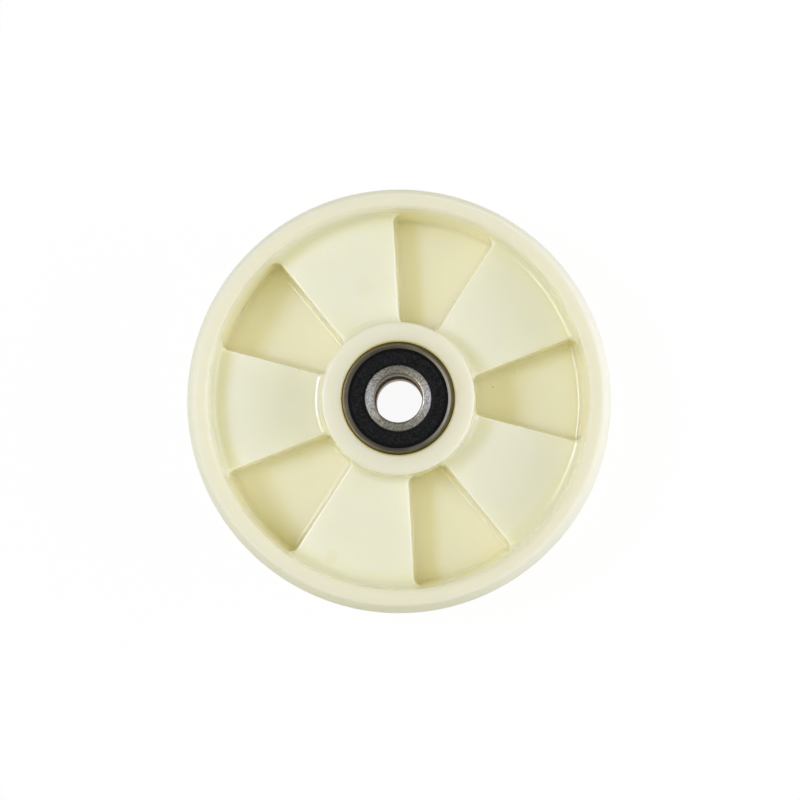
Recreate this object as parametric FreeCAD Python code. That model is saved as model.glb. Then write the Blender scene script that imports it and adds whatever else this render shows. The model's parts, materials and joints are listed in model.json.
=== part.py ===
import FreeCAD
import Part
import math
import os

# A moulded nylon wheel with a sealed ball bearing in each end of its hub. Sizes are in millimetres.
# The wheel's axis is Z and its middle is the origin. The front side, with a pocket on +X, faces +Z.

# Wheel body
wheel_diameter = 180.0  # over the top of the crowned tread
wheel_width = 50.0  # between the side faces
crown_radius = 70.0  # of the tread, in cross section
tread_edge_radius = 1.2  # where the tread meets the side face
rim_depth = 10.6  # from the top of the tread in to the rim's lip
hub_wall = 8.2  # round the bearing seat
lip_radius = 0.9  # on the edges of the rim's lip and of the hub
pocket_count = 5  # on each side
pocket_depth = 16.0  # below the raised panels
panel_thickness = 8.0  # under a pocket and behind a raised panel
rib_thickness = 4.1  # between a pocket and the panel beside it
draft_angle = 3.0  # degrees, on every moulded wall
pocket_root_radius = 2.0  # along the foot of a pocket's side walls
pocket_end_radius = 1.6  # where a pocket's floor runs into the hub and the rim
panel_edge_radius = 1.0  # along the top of a pocket's side walls
panel_end_radius = 3.5  # where a raised panel runs into the hub and the rim

# Bearing seats in the hub
seat_chamfer = 0.8  # lead-in at the mouth
seat_shoulder = 3.5  # step that stops the outer ring
bearing_recess = 0.4  # of the bearing below the hub's face

# Bearing
bearing_bore = 20.0
bearing_diameter = 47.0
bearing_width = 14.0
corner_radius = 1.0  # on the rings' mounting corners
ball_diameter = 7.938
ball_count = 8
ball_clearance = 0.05  # between a ball and each raceway
raceway_opening = 0.16  # by which a raceway's radius is over the ball's
inner_shoulder_height = 1.7  # of the inner ring's shoulders above its raceway's floor
outer_shoulder_height = 1.45  # of the outer ring's shoulders above its raceway's floor

# Seals, and their places on the rings
seal_land_height = 3.7  # of the inner ring at its face, from the bore
seal_land_edge = 0.3  # chamfer beside the inner ring's face
seal_seat_wall = 2.7  # of the outer ring at its face, from the outside
seal_seat_bevel = 1.1  # width of the slope down from the outer ring's face
seal_seat_drop = 0.4  # depth of that slope
seal_recess = 0.5  # of the seal below the rings' faces
seal_thickness = 1.0
seal_bead = 0.4  # snapped into the outer ring
seal_bead_height = 0.6
seal_channel_width = 1.1  # ring round the outside of the seal's face
seal_channel_depth = 0.25
seal_lip_width = 1.1  # slope down to the inner ring
seal_lip_drop = 0.35
seal_clearance = 0.12  # between the lip and the turning inner ring
shoulder_clearance = 0.25  # between the seal's back and the inner ring's shoulder

# Cage
cage_sheet = 0.7
cage_width = 2.9
cage_clearance = 0.1  # between a ball and its pocket
rivet_diameter = 1.2
rivet_head_diameter = 2.0
rivet_head_height = 0.45

# Places that follow from the sizes
wheel_radius = wheel_diameter / 2
half_width = wheel_width / 2
bearing_radius = bearing_diameter / 2
half_bearing = bearing_width / 2
hub_radius = bearing_radius + hub_wall
rim_radius = wheel_radius - rim_depth
panel_height = (pocket_depth + panel_thickness) / 2
floor_height = panel_height - pocket_depth
half_pocket = 90.0 / pocket_count
draft = math.tan(math.radians(draft_angle))
root_radius = min(pocket_root_radius, 0.6 * pocket_depth)
edge_radius = min(panel_edge_radius, 0.3 * pocket_depth)
floor_end_radius = min(pocket_end_radius, 0.9 * root_radius)
bearing_height = half_width - bearing_recess - half_bearing
bore_radius = bearing_bore / 2
pitch_radius = (bore_radius + bearing_radius) / 2
ball_radius = ball_diameter / 2
raceway_radius = ball_radius + raceway_opening
inner_floor_radius = pitch_radius - ball_radius - ball_clearance
outer_floor_radius = pitch_radius + ball_radius + ball_clearance
inner_shoulder_radius = inner_floor_radius + inner_shoulder_height
outer_shoulder_radius = outer_floor_radius - outer_shoulder_height
seal_land_radius = bore_radius + seal_land_height
seal_seat_radius = bearing_radius - seal_seat_wall
seal_face = half_bearing - seal_recess
seal_back = seal_face - seal_thickness

origin = FreeCAD.Vector(0, 0, 0)
axis = FreeCAD.Vector(0, 0, 1)
cross_axis = FreeCAD.Vector(1, 0, 0)
tolerance = 1e-4


def section_point(radius, height):
    return FreeCAD.Vector(radius, 0, height)


def turned(corners):
    """Solid of revolution with these (radius, height) corners."""
    points = [section_point(*corner) for corner in corners]
    outline = Part.makePolygon(points + points[:1])
    return Part.Face(outline).revolve(origin, axis, 360)


def mirrored(corners):
    """The corners given for the upper half, then the same below."""
    return corners + [(radius, -height) for radius, height in reversed(corners)]


def spaced(shape, count):
    """Copies of the shape, evenly spaced round the axis."""
    copies = []
    for index in range(count):
        copy = shape.copy()
        copy.rotate(origin, axis, 360.0 * index / count)
        copies.append(copy)
    return copies


def circles(shape, radius, heights):
    """The shape's round edges of this radius at these heights."""
    found = []
    for edge in shape.Edges:
        point = edge.Vertexes[0].Point
        at_radius = abs(math.hypot(point.x, point.y) - radius) < tolerance
        at_height = min(abs(point.z - height) for height in heights) < tolerance
        if at_radius and at_height and edge.Curve.TypeId == "Part::GeomCircle":
            found.append(edge)
    return found


def level_lines(shape, height):
    """The shape's straight edges that lie at this height."""
    found = []
    for edge in shape.Edges:
        level = max(abs(vertex.Point.z - height) for vertex in edge.Vertexes) < tolerance
        if level and edge.Curve.TypeId == "Part::GeomLine":
            found.append(edge)
    return found


def runs_outwards(edge):
    start, end = [math.hypot(vertex.Point.x, vertex.Point.y) for vertex in edge.Vertexes]
    return abs(start - end) > tolerance


def hub_wall_radius(height):
    return hub_radius + (half_width - height) * draft


def rim_wall_radius(height):
    return rim_radius - (half_width - height) * draft


def foot_edges(shape, wall_radius):
    """The edges along which the web meets a drafted round wall, with their numbers."""
    found = []
    for number, edge in enumerate(shape.Edges, start=1):
        middle = edge.valueAt((edge.FirstParameter + edge.LastParameter) / 2)
        points = [vertex.Point for vertex in edge.Vertexes] + [middle]
        off_wall = max(abs(math.hypot(point.x, point.y) - wall_radius(point.z)) for point in points)
        top = max(point.z for point in points)
        if off_wall < tolerance and top < half_width - lip_radius and len(edge.Vertexes) == 2:
            found.append((number, edge))
    return found


def ends_in_turn(edge):
    """The edge's two ends, in the order in which they are met going counter-clockwise."""
    first, last = [vertex.Point for vertex in edge.Vertexes]
    if first.cross(last).z < 0:
        return last, first
    return first, last


def foot_radius(point):
    """Small along a pocket's floor and larger along the raised panels."""
    return panel_end_radius if point.z > (panel_height + floor_height) / 2 else floor_end_radius


def with_rounded_foot(shape, wall_radius):
    """The shape with one fillet all along a wall's foot, which eases from radius to radius at each corner."""
    document = FreeCAD.newDocument()
    sharp = document.addObject("Part::Feature", "sharp")
    sharp.Shape = shape
    rounded = document.addObject("Part::Fillet", "rounded")
    rounded.Base = sharp
    edges = foot_edges(shape, wall_radius)
    rounded.Edges = [(number, *map(foot_radius, ends_in_turn(edge))) for number, edge in edges]
    document.recompute()
    return rounded.Shape.Solids[0]


def pocket_wedge():
    """Space of one pocket: two flat side walls, and ends that lie inside the hub and the rim."""
    near = hub_radius - hub_wall / 2
    far = rim_radius + rim_depth / 2
    slope = math.radians(half_pocket)
    corner = {}
    for level, height in enumerate((floor_height, panel_height)):
        inset = rib_thickness / 2 + (panel_height - height) * draft
        for end, reach in enumerate((near, far)):
            across = reach * math.tan(slope) - inset / math.cos(slope)
            corner[level, end, 0] = FreeCAD.Vector(reach, -across, height)
            corner[level, end, 1] = FreeCAD.Vector(reach, across, height)
    square = ((0, 0), (0, 1), (1, 1), (1, 0))
    faces = []
    for fixed in range(3):
        for value in range(2):
            keys = [pair[:fixed] + (value,) + pair[fixed:] for pair in square]
            points = [corner[key] for key in keys]
            faces.append(Part.Face(Part.makePolygon(points + points[:1])))
    return Part.Solid(Part.Shell(faces))


def web_space():
    """Everything open on the front between hub and rim: the recess over the panels, and the pockets."""
    above = half_width + lip_radius
    below = floor_height - floor_end_radius
    recess = Part.makeCylinder(wheel_radius, above - panel_height, FreeCAD.Vector(0, 0, panel_height))
    space = recess.fuse(spaced(pocket_wedge(), pocket_count)).removeSplitter().Solids[0]
    pocket_feet = [edge for edge in level_lines(space, floor_height) if runs_outwards(edge)]
    space = space.makeFillet(root_radius, pocket_feet)
    space = space.makeFillet(edge_radius, level_lines(space, panel_height))
    between_walls = turned([
        (hub_wall_radius(below), below),
        (rim_wall_radius(below), below),
        (rim_wall_radius(above), above),
        (hub_wall_radius(above), above),
    ])
    space = space.common(between_walls).removeSplitter().Solids[0]
    space = with_rounded_foot(space, hub_wall_radius)
    return with_rounded_foot(space, rim_wall_radius)


def wheel_body():
    crown_drop = crown_radius - math.sqrt(crown_radius ** 2 - half_width ** 2)
    edge = wheel_radius - crown_drop
    seat_height = bearing_height - half_bearing
    top = section_point(edge, half_width)
    bottom = section_point(edge, -half_width)
    tread = Part.Arc(bottom, section_point(wheel_radius, 0), top).toShape()
    inside = mirrored([
        (edge, half_width),
        (bearing_radius + seat_chamfer, half_width),
        (bearing_radius, half_width - seat_chamfer),
        (bearing_radius, seat_height),
        (bearing_radius - seat_shoulder, seat_height),
    ])
    outline = Part.Wire([tread, *Part.makePolygon([section_point(*corner) for corner in inside]).Edges])
    blank = Part.Face(outline).revolve(origin, axis, 360)
    front = web_space()
    rear = front.copy()
    rear.rotate(origin, cross_axis, 180)
    rear.rotate(origin, axis, 2 * half_pocket)
    body = blank.cut([front, rear]).Solids[0]
    faces = (half_width, -half_width)
    body = body.makeFillet(lip_radius, circles(body, hub_radius, faces) + circles(body, rim_radius, faces))
    return body.makeFillet(tread_edge_radius, circles(body, edge, faces))


def inner_ring():
    step = seal_back - shoulder_clearance
    ring = turned(mirrored([
        (bore_radius, half_bearing),
        (seal_land_radius - seal_land_edge, half_bearing),
        (seal_land_radius, half_bearing - seal_land_edge),
        (seal_land_radius, step),
        (inner_shoulder_radius, step),
    ]))
    ring = ring.makeFillet(corner_radius, circles(ring, bore_radius, (half_bearing, -half_bearing)))
    return ring.cut(Part.makeTorus(inner_floor_radius + raceway_radius, raceway_radius)).Solids[0]


def outer_ring():
    bead_top = seal_back + seal_bead_height
    ring = turned(mirrored([
        (bearing_radius, half_bearing),
        (seal_seat_radius + seal_seat_bevel, half_bearing),
        (seal_seat_radius, half_bearing - seal_seat_drop),
        (seal_seat_radius, bead_top),
        (seal_seat_radius + seal_bead, bead_top),
        (seal_seat_radius + seal_bead, seal_back),
        (outer_shoulder_radius, seal_back),
    ]))
    ring = ring.makeFillet(corner_radius, circles(ring, bearing_radius, (half_bearing, -half_bearing)))
    return ring.cut(Part.makeTorus(outer_floor_radius - raceway_radius, raceway_radius)).Solids[0]


def seal():
    """The seal on the bearing's upper side."""
    lip_radius_inside = seal_land_radius + seal_clearance
    bead_top = seal_back + seal_bead_height
    channel = seal_seat_radius - seal_channel_width
    return turned([
        (lip_radius_inside, seal_back),
        (seal_seat_radius + seal_bead, seal_back),
        (seal_seat_radius + seal_bead, bead_top),
        (seal_seat_radius, bead_top),
        (seal_seat_radius, seal_face - seal_channel_depth),
        (channel, seal_face - seal_channel_depth),
        (channel - seal_channel_depth, seal_face),
        (lip_radius_inside + seal_lip_width, seal_face),
        (lip_radius_inside, seal_face - seal_lip_drop),
    ])


def balls():
    ball = Part.makeSphere(ball_radius, section_point(pitch_radius, 0))
    return spaced(ball, ball_count)


def at_rivet(shape):
    """The shape turned from +X to the first rivet, halfway between two balls."""
    shape.rotate(origin, axis, 180.0 / ball_count)
    return shape


def cage_half():
    """The upper half: a ring of sheet, bulged round each ball and flat between, with the rivets' holes."""
    inside = pitch_radius - cage_width / 2
    outside = pitch_radius + cage_width / 2
    pocket_radius = ball_radius + cage_clearance
    bulge_radius = pocket_radius + cage_sheet
    middle = section_point(pitch_radius, 0)
    strip = turned([(inside, 0), (outside, 0), (outside, bulge_radius), (inside, bulge_radius)])
    flat = turned([(inside, 0), (outside, 0), (outside, cage_sheet), (inside, cage_sheet)])
    bulges = [strip.common(bulge) for bulge in spaced(Part.makeSphere(bulge_radius, middle), ball_count)]
    pockets = spaced(Part.makeSphere(pocket_radius, middle), ball_count)
    holes = spaced(at_rivet(Part.makeCylinder(rivet_diameter / 2, cage_sheet, middle)), ball_count)
    return flat.fuse(bulges).removeSplitter().cut(pockets + holes).Solids[0]


def rivets():
    length = 2 * (cage_sheet + rivet_head_height)
    shank = Part.makeCylinder(rivet_diameter / 2, length, FreeCAD.Vector(0, 0, -length / 2))
    head = Part.makeCylinder(rivet_head_diameter / 2, rivet_head_height, FreeCAD.Vector(0, 0, cage_sheet))
    other_head = head.copy()
    other_head.rotate(origin, cross_axis, 180)
    rivet = shank.fuse([head, other_head]).removeSplitter()
    crowns = (length / 2, -length / 2)
    rivet = rivet.makeFillet(rivet_head_height / 2, circles(rivet, rivet_head_diameter / 2, crowns)).Solids[0]
    rivet.translate(section_point(pitch_radius, 0))
    return Part.makeCompound(spaced(at_rivet(rivet), ball_count))


def turned_over(shape):
    """A copy of the shape, turned over about the X axis."""
    copy = shape.copy()
    copy.rotate(origin, cross_axis, 180)
    return copy


def bearing():
    """The pieces of one bearing about the origin, by name. Its upper side faces out of the hub."""
    pieces = {
        "outer_ring": outer_ring(),
        "inner_ring": inner_ring(),
        "outside_seal": seal(),
        "inside_seal": turned_over(seal()),
        "outside_cage_half": cage_half(),
        "inside_cage_half": turned_over(cage_half()),
        "cage_rivets": rivets(),
    }
    for number, ball in enumerate(balls(), start=1):
        pieces[f"ball_{number}"] = ball
    return pieces


os.makedirs("parts", exist_ok=True)
wheel_body().exportStep("parts/wheel_body.step")
for name, piece in bearing().items():
    piece.translate(FreeCAD.Vector(0, 0, bearing_height))
    piece.exportStep(f"parts/front_{name}.step")
    turned_over(piece).exportStep(f"parts/rear_{name}.step")
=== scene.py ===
import json
import math

import bpy
from mathutils import Matrix, Vector

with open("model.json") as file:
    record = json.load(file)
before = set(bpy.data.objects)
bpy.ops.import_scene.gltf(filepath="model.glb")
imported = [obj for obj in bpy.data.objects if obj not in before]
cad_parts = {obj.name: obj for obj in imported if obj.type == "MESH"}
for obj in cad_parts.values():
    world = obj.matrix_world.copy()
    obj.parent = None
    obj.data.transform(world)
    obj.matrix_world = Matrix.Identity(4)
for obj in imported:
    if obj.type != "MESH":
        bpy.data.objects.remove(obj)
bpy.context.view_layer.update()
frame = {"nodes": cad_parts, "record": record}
nodes = frame["nodes"]

# Lengths are in metres. The wheel lies on its rear side face, and its front side faces up, towards +Z.
BEARING_FACE_HEIGHT = 0.0246
FLOOR_HEIGHT = -0.025
FLOOR_GAP = 0.00005
FLOOR_SIZE = 6.0

# The camera stands over the front side, a little to the right of the axle and below it in the picture.
PICTURE_TURN = math.radians(3.3)
EYE_RIGHT = 0.0139
EYE_BELOW = 0.0415
EYE_HEIGHT = 0.801
PIXELS_PER_METRE = 2419.0
PICTURE_SIZE = 800
SENSOR_WIDTH = 36.0
AIM_RIGHT = 0.0004
AIM_UP = 0.0005

# Bluish lamps and a golden surround together give white light on the faces and golden shadows.
# Each lamp: place to the right, up and above the wheel, size, power and colour
KEY_LAMP = (-0.69, 0.1, 1.0, (0.3, 0.4), 3.2, (0.88, 1.0, 1.75))
SECOND_LAMP = (1.0, 0.0, 0.42, (0.6, 0.9), 3.75, (0.93, 1.0, 1.65))
SURROUND_COLOUR = (1.0, 0.955, 0.69, 1)
SURROUND_LEVEL = 0.32
OVERHEAD_LEVEL = 0.69
BESIDE_LEVEL = 0.52
# What shiny surfaces mirror: a soft box to the left of the wheel, and a darker place overhead
SOFTBOX_LEVEL = 5.5
SOFTBOX_PLACE = -0.56
OVERHEAD_DARK = 0.72
# How much of the floor's white is its own, and not lit
FLOOR_WHITE_SHARE = 0.93
FLOOR_WHITE_LEVEL = 1.01
FLOOR_COLOUR = (0.95, 0.95, 0.95, 1)

# Radii and heights on the wheel body
SEAT_EDGE = 0.0237
HUB_RADIUS = 0.0317
HUB_FOOT = 0.0330
RIM_FOOT = 0.0716
RIM_LIP = 0.0782
RIM_FACE_MIDDLE = 0.0815
FACE_EDGE_RADIUS = 0.0841
SIDE_FACE_HEIGHT = 0.0240

# Radii on the bearings' rings and seals
BORE_EDGE = 0.0102
SEAL_GROOVE = 0.0204
INNER_BEVEL = 0.0206
OUTER_BEVEL = 0.0224
SEAL_RIM = 0.0192

IVORY = (0.97, 0.935, 0.715, 1)
PALE_IVORY = (0.98, 0.945, 0.74, 1)
# Painted golden shade for the deep pocket floors.
HOLLOW_SHADE_IVORY = (0.96, 0.915, 0.705, 1)
# Painted light: a brighter ivory for the rim's inner walls.
WALL_PAINTED_LIGHT_IVORY = (1.0, 0.975, 0.78, 1)
TURNED_IVORY = (0.88, 0.86, 0.70, 1)
# Turning streaks, and painted shade on the inner edge of the rim's face.
STREAK_AND_LIP_SHADE_IVORY = (0.885, 0.845, 0.61, 1)
TREAD_IVORY = (0.955, 0.90, 0.69, 1)
# Painted golden shade in the creases at the walls' feet.
FOOT_SHADE_GOLD = (0.96, 0.89, 0.54, 1)
HUB_GOLD = (0.90, 0.82, 0.50, 1)
SEAT_GOLD = (1.0, 0.84, 0.27, 1)
SPECK_BROWN = (0.16, 0.11, 0.07, 1)
# Place on the front side, size, strength and colour
STAINS_AND_PAINTED_SHADOW = (
    (-0.0114, 0.0480, 0.0065, 0.18, (0.86, 0.72, 0.52, 1)),
    (-0.0317, -0.0643, 0.0040, 0.18, (0.80, 0.66, 0.36, 1)),
    # This one is no stain: a painted shadow on the hub face, to the right of the bearing.
    (0.0252, 0.0050, 0.0060, 0.35, (0.90, 0.80, 0.54, 1)),
)

GROUND_DARK = (0.14, 0.138, 0.133, 1)
GROUND_BRIGHT = (0.47, 0.465, 0.45, 1)
BORE_BROWN = (0.34, 0.27, 0.19, 1)
# Painted dim reflection: the outer rings' dark, mottled base colour.
PAINTED_REFLECTION_DARKER = (0.09, 0.082, 0.062, 1)
PAINTED_REFLECTION_PALER = (0.17, 0.155, 0.122, 1)
# Painted darker on the inner bevel, to dim its reflection of the soft box.
DIMMED_BEVEL_STEEL = (0.10, 0.098, 0.09, 1)
# Brown on the outer bevel, beside the seat.
BEVEL_BROWN = (0.12, 0.08, 0.03, 1)
# Painted shade in the gap between the ring and the seal.
GROOVE_SHADE_BLACK = (0.03, 0.027, 0.022, 1)
BALL_STEEL = (0.72, 0.72, 0.73, 1)
CAGE_DARK = (0.42, 0.41, 0.38, 1)
CAGE_BRIGHT = (0.56, 0.55, 0.52, 1)
SEAL_BLACK = (0.0008, 0.001, 0.0015, 1)
SEAL_GRAIN = (0.028, 0.0295, 0.031, 1)


class Wire:
    """A shader socket. Python's operators on it add Math nodes, and node() adds any other node."""

    def __init__(self, tree, socket=None):
        self.tree = tree
        self.socket = socket

    def node(self, kind, settings=None, inputs=None, output=0):
        made = self.tree.nodes.new(kind)
        for name, value in (settings or {}).items():
            setattr(made, name, value)
        for name, value in (inputs or {}).items():
            self.join(made.inputs[name], value)
        return Wire(self.tree, made.outputs[output])

    def join(self, socket, value):
        """Links a wire to an input, or writes a plain value on it."""
        if isinstance(value, Wire):
            self.tree.links.new(value.socket, socket)
        else:
            socket.default_value = value

    def output(self, name):
        """Another output of the node that this socket is on."""
        return Wire(self.tree, self.socket.node.outputs[name])

    def math(self, operation, first, second=0.0):
        return self.node("ShaderNodeMath", {"operation": operation}, {0: first, 1: second})

    def __add__(self, other):
        return self.math("ADD", self, other)

    def __radd__(self, other):
        return self.math("ADD", other, self)

    def __sub__(self, other):
        return self.math("SUBTRACT", self, other)

    def __rsub__(self, other):
        return self.math("SUBTRACT", other, self)

    def __mul__(self, other):
        return self.math("MULTIPLY", self, other)

    def __rmul__(self, other):
        return self.math("MULTIPLY", other, self)

    def __truediv__(self, other):
        return self.math("DIVIDE", self, other)

    def __rtruediv__(self, other):
        return self.math("DIVIDE", other, self)

    def __pow__(self, other):
        return self.math("POWER", self, other)

    def __gt__(self, other):
        return self.math("GREATER_THAN", self, other)

    def __lt__(self, other):
        return self.math("LESS_THAN", self, other)

    def __abs__(self):
        return self.math("ABSOLUTE", self)

    def ramp(self, low, high):
        """0 at low, 1 at high and smooth between. With low above high it falls."""
        settings = {"interpolation_type": "SMOOTHSTEP"}
        return self.node("ShaderNodeMapRange", settings, {"Value": self, "From Min": low, "From Max": high})

    def near(self, middle, inside, outside):
        """1 within the inside distance of the middle, 0 beyond the outside one."""
        return 1.0 - abs(self - middle).ramp(inside, outside)

    def mix(self, first, second):
        """The first colour where this is 0, the second where it is 1."""
        return self.node("ShaderNodeMix", {"data_type": "RGBA"}, {0: self, 6: first, 7: second}, output=2)

    def noise(self, place, scale, detail=2.0, roughness=0.5):
        inputs = {"Vector": place, "Scale": scale, "Detail": detail, "Roughness": roughness}
        return self.node("ShaderNodeTexNoise", {}, inputs)

    def bump(self, height, distance, strength=1.0, normal=None):
        inputs = {"Height": height, "Distance": distance, "Strength": strength}
        if normal:
            inputs["Normal"] = normal
        return self.node("ShaderNodeBump", {}, inputs)


class Finish(Wire):
    """A material: one Principled shader, and the place on the object as Object coordinates."""

    def __init__(self, name):
        self.material = bpy.data.materials.new(name)
        self.material.use_nodes = True
        super().__init__(self.material.node_tree)
        self.shader = self.tree.nodes["Principled BSDF"]
        self.place = self.node("ShaderNodeTexCoord", output="Object")
        self.x = self.node("ShaderNodeSeparateXYZ", {}, {0: self.place})
        self.y = self.x.output("Y")
        self.z = self.x.output("Z")
        self.height = abs(self.z)
        self.radius = (self.x * self.x + self.y * self.y) ** 0.5

    def away_from(self, across, along):
        """Distance from a line that runs along the axle through (across, along)."""
        return ((self.x - across) ** 2.0 + (self.y - along) ** 2.0) ** 0.5

    def round_line(self):
        """A place that is the same all the way round the axle, for marks left by turning."""
        return self.node("ShaderNodeCombineXYZ", {}, {"X": self.radius, "Y": 0.0, "Z": self.z})

    def specks(self, crowded):
        """Small dark specks, mostly where crowded is 1."""
        cells = self.node("ShaderNodeTexVoronoi", {}, {"Vector": self.place, "Scale": 420.0})
        chance = self.node("ShaderNodeSeparateColor", {}, {0: cells.output("Color")})
        patch = self.noise(self.place, 35.0, 2.0).ramp(0.5, 0.75)
        return (cells < 0.16) * (chance > 0.997 - 0.06 * crowded - 0.012 * patch) * 0.35

    def set(self, **inputs):
        for name, value in inputs.items():
            self.join(self.shader.inputs[name.replace("_", " ")], value)

    def put_on(self, *objects):
        for piece in objects:
            piece.data.materials.clear()
            piece.data.materials.append(self.material)


def nylon_colour(finish, tread, side_face, turned):
    """Ivory with painted golden shade in the hollows, at the walls' feet and on the inner edge of the rim's
    face, painted light on the rim's inner walls, stains and one painted shadow, and golden round the
    bearing seats.
    """
    cloud = finish.noise(finish.place, 28.0, 3.0, 0.55).ramp(0.3, 0.7)
    # Painted golden shade, stronger deeper in the pockets.
    hollow_shade = 1.0 - finish.height.ramp(0.003, 0.014)
    colour = hollow_shade.mix(cloud.mix(IVORY, PALE_IVORY), HOLLOW_SHADE_IVORY)
    # Painted light on the rim's inner walls, which makes them brighter.
    rim_wall_painted_light = finish.radius.ramp(0.0715, 0.0740) * finish.height.ramp(0.0125, 0.0160)
    colour = rim_wall_painted_light.mix(colour, WALL_PAINTED_LIGHT_IVORY)
    # Painted golden shade in the creases at the feet of the rim and the hub.
    rim_foot_shade = finish.radius.ramp(RIM_FOOT, RIM_FOOT + 0.0030)
    hub_foot_shade = 1.0 - finish.radius.ramp(HUB_FOOT, HUB_FOOT + 0.0025)
    foot_shade = (rim_foot_shade + hub_foot_shade) * (1.0 - finish.height.ramp(0.0145, 0.0175))
    colour = (0.3 * foot_shade).mix(colour, FOOT_SHADE_GOLD)

    # Turning streaks, and painted shade on the inner edge of the rim's face where it meets the wall.
    streaks_and_lip_shade = turned.ramp(0.35, 0.7) * 0.4 + 0.6 * finish.radius.near(RIM_LIP, 0.0008, 0.0045)
    colour = side_face.mix(colour, streaks_and_lip_shade.mix(TURNED_IVORY, STREAK_AND_LIP_SHADE_IVORY))
    wear = finish.noise(finish.place, 140.0, 4.0, 0.65).ramp(0.35, 0.75)
    colour = (tread * (0.55 + 0.45 * wear)).mix(colour, TREAD_IVORY)

    ragged = finish.noise(finish.place, 260.0, 4.0, 0.6)
    # Stains, and one painted shadow on the hub face.
    for across, along, size, strength, tint in STAINS_AND_PAINTED_SHADOW:
        spread = finish.away_from(across, along) / size + 1.1 * (ragged - 0.5)
        colour = (strength * (1.0 - spread.ramp(0.2, 1.0))).mix(colour, tint)
    near_seat = 1.0 - finish.radius.ramp(SEAT_EDGE + 0.0003, SEAT_EDGE + 0.0038)
    colour = (near_seat * (0.25 + 0.35 * cloud)).mix(colour, HUB_GOLD)
    seat = 1.0 - finish.radius.ramp(SEAT_EDGE, SEAT_EDGE + 0.0008)
    colour = (0.85 * seat).mix(colour, SEAT_GOLD)
    return finish.specks(tread).mix(colour, SPECK_BROWN)


def nylon_normal(finish, side_face, turned):
    """A moulded skin, turning marks on the side faces, and softened edges on the rim and the hub."""
    skin = finish.noise(finish.place, 900.0, 3.0)
    height = 0.4 * skin + 2.0 * side_face * turned
    rim_edges = finish.radius.near(RIM_FACE_MIDDLE, 0.0045, 0.0065) * finish.height.ramp(0.017, 0.021)
    hub_edge = finish.radius.near(HUB_RADIUS, 0.0015, 0.0030) * finish.height.ramp(0.020, 0.022)
    softness = 0.0004 + 0.0022 * rim_edges + 0.0012 * hub_edge
    rounded = finish.node("ShaderNodeBevel", {"samples": 4}, {"Radius": softness})
    return finish.bump(height, 0.00004, 1.0, rounded)


def nylon():
    finish = Finish("ivory_nylon")
    tread = finish.radius.ramp(FACE_EDGE_RADIUS, FACE_EDGE_RADIUS + 0.0012)
    side_face = finish.height.ramp(SIDE_FACE_HEIGHT, SIDE_FACE_HEIGHT + 0.0007)
    turned = finish.noise(finish.round_line(), 1500.0, 3.0, 0.7)
    gloss = finish.noise(finish.place, 60.0, 3.0)
    finish.set(
        Base_Color=nylon_colour(finish, tread, side_face, turned),
        Roughness=0.12 + 0.1 * gloss + 0.2 * side_face + 0.5 * tread,
        Normal=nylon_normal(finish, side_face, turned),
        Subsurface_Weight=1.0,
        Subsurface_Radius=(0.005, 0.005, 0.0042),
        Subsurface_Scale=1.0,
        Specular_IOR_Level=0.5,
        IOR=1.53,
    )
    return finish


def inner_ring_steel():
    """Bright and grained, ground round the axle, with a brownish bore."""
    finish = Finish("ground_ring_steel")
    ground = finish.noise(finish.round_line(), 4000.0, 2.0)
    grain = finish.noise(finish.place, 1900.0, 4.0, 0.7).ramp(0.36, 0.64)
    bore = 1.0 - finish.radius.ramp(BORE_EDGE, BORE_EDGE + 0.0004)
    finish.set(
        Base_Color=bore.mix(grain.mix(GROUND_DARK, GROUND_BRIGHT), BORE_BROWN),
        Metallic=1.0,
        Roughness=0.36 + 0.14 * grain,
        Anisotropic=0.55,
        Anisotropic_Rotation=0.25,
        Normal=finish.bump(ground + 0.8 * grain, 0.00002, 0.5),
    )
    return finish


def outer_ring_steel():
    """A dark, mottled base colour that paints the outer rings' reflection dim. The inner bevel is painted
    darker to dim its reflection of the soft box, the gap at the seal has painted shade, and the outer bevel
    is brown.
    """
    finish = Finish("painted_dim_reflection_steel")
    ground = finish.noise(finish.round_line(), 4000.0, 2.0)
    grain = finish.noise(finish.place, 1900.0, 4.0, 0.7).ramp(0.3, 0.7)
    mottle = finish.noise(finish.place, 90.0, 3.0, 0.55).ramp(0.3, 0.7)
    # Painted dim reflection: dark steel mottled between two dark tones.
    colour = (0.5 * mottle + 0.5 * grain).mix(PAINTED_REFLECTION_DARKER, PAINTED_REFLECTION_PALER)
    # Painted darker inner bevel, which dims its reflection of the soft box.
    inner_bevel = finish.radius.ramp(INNER_BEVEL, INNER_BEVEL + 0.0002)
    inner_bevel = inner_bevel - finish.radius.ramp(INNER_BEVEL + 0.0005, INNER_BEVEL + 0.0008)
    colour = (0.6 * inner_bevel).mix(colour, DIMMED_BEVEL_STEEL)
    # Painted shade in the gap between the outer ring and the seal.
    groove_shade = 1.0 - finish.radius.ramp(SEAL_GROOVE, SEAL_GROOVE + 0.0003)
    colour = groove_shade.mix(colour, GROOVE_SHADE_BLACK)
    outer_bevel = finish.radius.ramp(OUTER_BEVEL, OUTER_BEVEL + 0.0007)
    finish.set(
        Base_Color=outer_bevel.mix(colour, BEVEL_BROWN),
        Metallic=1.0,
        Roughness=0.44 + 0.08 * mottle,
        Normal=finish.bump(ground + 0.5 * grain, 0.00002, 0.5),
    )
    return finish


def ball_steel():
    finish = Finish("polished_ball_steel")
    haze = finish.noise(finish.place, 500.0, 2.0)
    finish.set(Base_Color=BALL_STEEL, Metallic=1.0, Roughness=0.06 + 0.06 * haze)
    return finish


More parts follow.
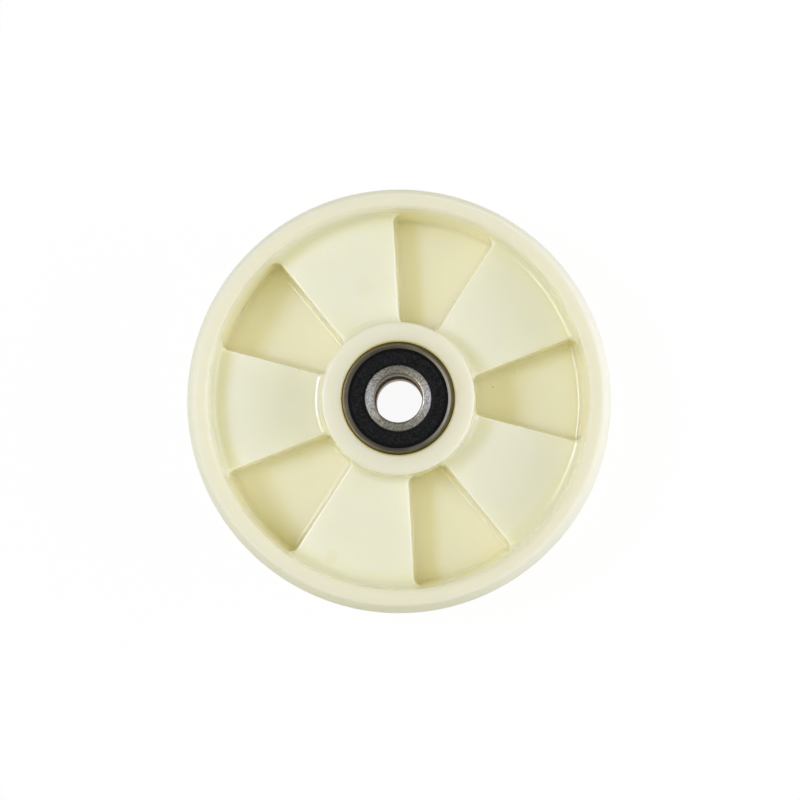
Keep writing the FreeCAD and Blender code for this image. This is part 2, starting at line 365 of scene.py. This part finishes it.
def cage_steel():
    finish = Finish("pressed_cage_steel")
    haze = finish.noise(finish.place, 300.0, 3.0)
    finish.set(
        Base_Color=haze.mix(CAGE_DARK, CAGE_BRIGHT),
        Metallic=1.0,
        Roughness=0.3 + 0.2 * haze,
        Normal=finish.bump(haze, 0.00004, 0.5),
    )
    return finish


def seal_rubber():
    """Matt black with a fine pale grain, plain round its outer rim."""
    finish = Finish("black_seal_rubber")
    grain = finish.noise(finish.place, 1300.0, 4.0, 0.7).ramp(0.4, 0.68)
    dust = finish.noise(finish.place, 420.0, 4.0, 0.65).ramp(0.45, 0.85)
    rim = finish.radius.ramp(SEAL_RIM, SEAL_RIM + 0.0008)
    pale = grain * (0.6 + 0.4 * dust) * (1.0 - rim)
    finish.set(
        Base_Color=pale.mix(SEAL_BLACK, SEAL_GRAIN),
        Roughness=0.5 + 0.25 * grain,
        Specular_IOR_Level=0.1,
        Normal=finish.bump(grain, 0.00006, 0.6),
    )
    return finish


def dress_frame():
    finishes = {
        "nylon": nylon(),
        "ring_steel": inner_ring_steel(),
        "ball_steel": ball_steel(),
        "cage_steel": cage_steel(),
        "seal_rubber": seal_rubber(),
    }
    for subpart in frame["record"]["subparts"]:
        finishes[subpart["material_slot"]].put_on(nodes[subpart["node"]])
    outer_ring_steel().put_on(nodes["front_outer_ring"], nodes["rear_outer_ring"])


def picture_axes():
    """The picture's right and up directions, in the wheel's frame."""
    right = Vector((math.cos(PICTURE_TURN), -math.sin(PICTURE_TURN), 0))
    up = Vector((math.sin(PICTURE_TURN), math.cos(PICTURE_TURN), 0))
    return right, up


def look_from(thing, place, target, up):
    """Puts a camera or lamp at a place, facing the target, with its own Y along up."""
    back = (place - target).normalized()
    across = up.cross(back).normalized()
    above = back.cross(across)
    turn = Matrix((across, above, back)).transposed()
    thing.matrix_world = Matrix.Translation(place) @ turn.to_4x4()


def add_camera():
    right, up = picture_axes()
    eye = right * EYE_RIGHT - up * EYE_BELOW + Vector((0, 0, BEARING_FACE_HEIGHT + EYE_HEIGHT))
    target = right * AIM_RIGHT + up * AIM_UP
    data = bpy.data.cameras.new("camera")
    data.sensor_width = SENSOR_WIDTH
    data.lens = SENSOR_WIDTH * PIXELS_PER_METRE * EYE_HEIGHT / PICTURE_SIZE
    data.clip_start = 0.01
    camera = bpy.data.objects.new("camera", data)
    bpy.context.scene.collection.objects.link(camera)
    look_from(camera, eye, target, up)
    bpy.context.scene.camera = camera


def add_lamp(name, across, along, height, size, power, colour):
    right, up = picture_axes()
    data = bpy.data.lights.new(name, "AREA")
    data.shape = "RECTANGLE"
    data.size, data.size_y = size
    data.energy = power
    data.color = colour
    lamp = bpy.data.objects.new(name, data)
    bpy.context.scene.collection.objects.link(lamp)
    look_from(lamp, right * across + up * along + Vector((0, 0, height)), Vector((0, 0, 0)), up)


def add_world():
    """Light from all round, more of it from overhead and from both sides."""
    world = bpy.data.worlds.new("studio")
    world.use_nodes = True
    bpy.context.scene.world = world
    sky = Wire(world.node_tree)
    way = sky.node("ShaderNodeTexCoord", output="Generated")
    across = sky.node("ShaderNodeSeparateXYZ", {}, {0: way})
    along = across.output("Y")
    height = across.output("Z")
    overhead = height.ramp(0.75, 1.0)
    beside = abs(across).ramp(0.3, 0.9)
    level = SURROUND_LEVEL + OVERHEAD_LEVEL * overhead + BESIDE_LEVEL * beside
    softbox = abs(across - SOFTBOX_PLACE).ramp(0.18, 0.12) * abs(along).ramp(0.5, 0.4) * (height > 0.0)
    mirrored = sky.node("ShaderNodeLightPath", output="Is Glossy Ray")
    level = level + (SOFTBOX_LEVEL * softbox - OVERHEAD_DARK * height.ramp(0.86, 0.97)) * mirrored
    backdrop = world.node_tree.nodes["Background"]
    sky.join(backdrop.inputs["Strength"], level)
    sky.join(backdrop.inputs["Color"], SURROUND_COLOUR)


def add_floor():
    """A pale sheet that shows as white and keeps a faint shadow."""
    bpy.ops.object.select_all(action="DESELECT")
    bpy.ops.mesh.primitive_plane_add(size=FLOOR_SIZE, location=(0, 0, FLOOR_HEIGHT - FLOOR_GAP))
    floor = bpy.context.object
    floor.name = "floor"
    bpy.ops.object.transform_apply(location=True)
    material = bpy.data.materials.new("pale_floor")
    material.use_nodes = True
    paper = Wire(material.node_tree)
    camera_ray = paper.node("ShaderNodeLightPath", output="Is Camera Ray")
    seen = camera_ray + camera_ray.output("Is Glossy Ray") + camera_ray.output("Is Transmission Ray")
    share = paper.math("MINIMUM", seen, 1.0) * FLOOR_WHITE_SHARE
    sheet = paper.node("ShaderNodeBsdfDiffuse", {}, {"Color": FLOOR_COLOUR})
    white = paper.node("ShaderNodeEmission", {}, {"Color": (1, 1, 1, 1), "Strength": FLOOR_WHITE_LEVEL})
    mixed = paper.node("ShaderNodeMixShader", {}, {0: share, 1: sheet, 2: white})
    paper.join(paper.tree.nodes["Material Output"].inputs["Surface"], mixed)
    floor.data.materials.append(material)


dress_frame()
add_camera()
add_lamp("key", *KEY_LAMP)
add_lamp("second", *SECOND_LAMP)
add_world()
add_floor()
bpy.context.scene.view_settings.view_transform = "Standard"
# Pale nylon passes light on many times in its pockets.
bpy.context.scene.cycles.max_bounces = 18
bpy.context.scene.cycles.diffuse_bounces = 14
